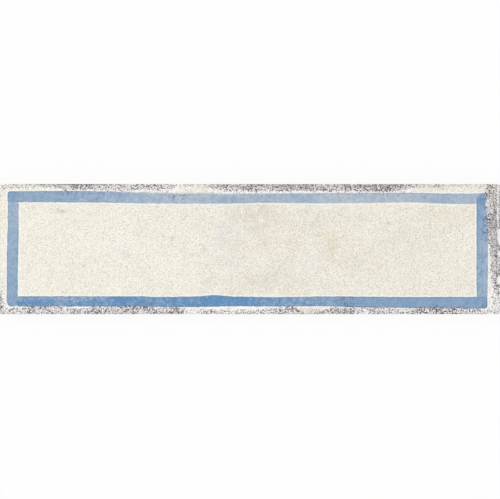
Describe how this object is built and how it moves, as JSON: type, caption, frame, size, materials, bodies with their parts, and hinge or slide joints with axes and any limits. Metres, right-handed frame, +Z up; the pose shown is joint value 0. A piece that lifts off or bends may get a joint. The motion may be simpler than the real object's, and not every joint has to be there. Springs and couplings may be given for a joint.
{
  "type": "wall tile",
  "caption": "Long rectangular glazed ceramic wall tile with a hand-painted border, a cushioned face edge, a bevelled back and a moulded waffle that keys into tile adhesive.",
  "frame": {"origin": "middle of the back, on the plane of the ribs that bed into the adhesive", "axes": "+X along the tile's length, +Y across its width, +Z up out of the decorated face"},
  "size_m": [0.25, 0.065, 0.009],
  "materials": {
    "glaze": "satin-matt cream glaze with a washed blue border, over a fired buff body"
  },
  "bodies": {
    "root": {"wall_tile": "glaze"}
  },
  "joints": []
}
